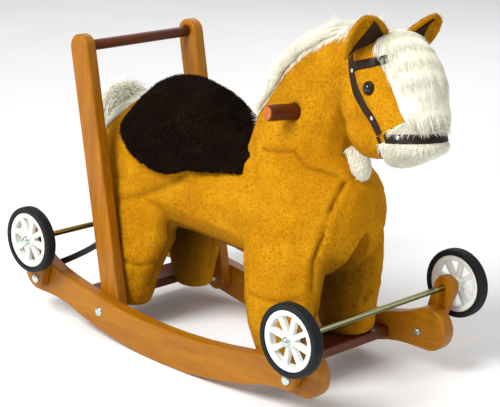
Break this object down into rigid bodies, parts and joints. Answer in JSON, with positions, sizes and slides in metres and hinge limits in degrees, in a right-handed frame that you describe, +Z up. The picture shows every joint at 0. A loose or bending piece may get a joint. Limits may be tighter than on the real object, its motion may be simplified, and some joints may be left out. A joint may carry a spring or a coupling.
{
  "type": "rocking horse",
  "caption": "Plush rocking horse with saddle and bridle on curved wooden rockers, with a push bar behind and wheel pairs that flip down to make it a ride-on.",
  "frame": {"origin": "on the floor plane under the rockers' flats, at the centre of the object's bounding box in X and Y", "axes": "+X the way the horse faces, +Y to the horse's left, +Z up"},
  "size_m": [0.8585, 0.4474, 0.654],
  "materials": {
    "honey_wood": "clear satin lacquer over a honey-amber stain, rounded edges",
    "cherry_wood": "clear satin lacquer over a reddish brown stain",
    "inner_wood": "plain sawn softwood, hidden in the stuffing",
    "golden_plush": "short golden amber plush pile with a soft sheen, sewn panels",
    "cream_pile": "long combed cream-white pile",
    "dark_plush": "very dark brown short plush, padded",
    "bridle_leather": "dark brown smooth strap leather with edge stitching and metal rivets",
    "ear_lining": "dark brown short plush",
    "eye": "polished black plastic with a brown ring",
    "white_plastic": "moulded white plastic, satin gloss",
    "black_tyre": "black rubber with fine grooves round the tread",
    "chrome": "bright plated steel domes",
    "yellow_zinc": "yellow zinc plated steel rod",
    "black_steel": "black powder-coated flat steel"
  },
  "bodies": {
    "chassis": {"blaze": "cream_pile", "bridle_brow_band": "bridle_leather", "bridle_cheek_strap_left": "bridle_leather", "bridle_cheek_strap_right": "bridle_leather", "bridle_nose_band": "bridle_leather", "chest_tuft": "cream_pile", "ear_left": "golden_plush", "ear_lining_left": "ear_lining", "ear_lining_right": "ear_lining", "ear_right": "golden_plush", "eye_left": "eye", "eye_right": "eye", "front_bulkhead": "inner_wood", "front_leg_post_left": "inner_wood", "front_leg_post_right": "inner_wood", "front_rail": "cherry_wood", "mane": "cream_pile", "muzzle": "cream_pile", "neck_board": "inner_wood", "neck_handle": "cherry_wood", "pivot_bolt_front_left": "chrome", "pivot_bolt_front_right": "chrome", "pivot_bolt_rear_left": "chrome", "pivot_bolt_rear_right": "chrome", "plush_body": "golden_plush", "post_bolt_left": "chrome", "post_bolt_right": "chrome", "post_brace_left": "black_steel", "post_brace_right": "black_steel", "push_bar": "cherry_wood", "push_post_left": "honey_wood", "push_post_right": "honey_wood", "rear_bulkhead": "inner_wood", "rear_leg_post_left": "inner_wood", "rear_leg_post_right": "inner_wood", "rear_rail": "cherry_wood", "rocker_left": "honey_wood", "rocker_right": "honey_wood", "saddle": "dark_plush", "spine_board": "inner_wood", "tail": "cream_pile"},
    "front_wheel_left": {"tyre_front_left": "black_tyre", "wheel_front_left": "white_plastic"},
    "front_wheel_right": {"tyre_front_right": "black_tyre", "wheel_front_right": "white_plastic"},
    "rear_wheel_left": {"tyre_rear_left": "black_tyre", "wheel_rear_left": "white_plastic"},
    "rear_wheel_right": {"tyre_rear_right": "black_tyre", "wheel_rear_right": "white_plastic"},
    "front_carriage": {"arm_front_left": "honey_wood", "arm_front_right": "honey_wood", "axle_cap_front_left": "chrome", "axle_cap_front_right": "chrome", "front_axle": "yellow_zinc"},
    "rear_carriage": {"arm_rear_left": "honey_wood", "arm_rear_right": "honey_wood", "axle_cap_rear_left": "chrome", "axle_cap_rear_right": "chrome", "rear_axle": "yellow_zinc"}
  },
  "joints": [
    {"name": "front_wheels_flip", "type": "hinge", "parent": "chassis", "child": "front_carriage", "pos_m": [0.2608, 0, 0.074], "axis": [0, 1, 0], "range_deg": [0, 219]},
    {"name": "front_wheel_right_spin", "type": "hinge", "parent": "front_carriage", "child": "front_wheel_right", "pos_m": [0.28731, -0.2044, 0.15371], "axis": [0, 1, 0], "continuous": true},
    {"name": "front_wheel_left_spin", "type": "hinge", "parent": "front_carriage", "child": "front_wheel_left", "pos_m": [0.28731, 0.2044, 0.15371], "axis": [0, 1, 0], "continuous": true},
    {"name": "rear_wheels_flip", "type": "hinge", "parent": "chassis", "child": "rear_carriage", "pos_m": [-0.3732, 0, 0.074], "axis": [0, -1, 0], "range_deg": [0, 247]},
    {"name": "rear_wheel_right_spin", "type": "hinge", "parent": "rear_carriage", "child": "rear_wheel_right", "pos_m": [-0.35934, -0.2044, 0.15685], "axis": [0, 1, 0], "continuous": true},
    {"name": "rear_wheel_left_spin", "type": "hinge", "parent": "rear_carriage", "child": "rear_wheel_left", "pos_m": [-0.35934, 0.2044, 0.15685], "axis": [0, 1, 0], "continuous": true}
  ]
}
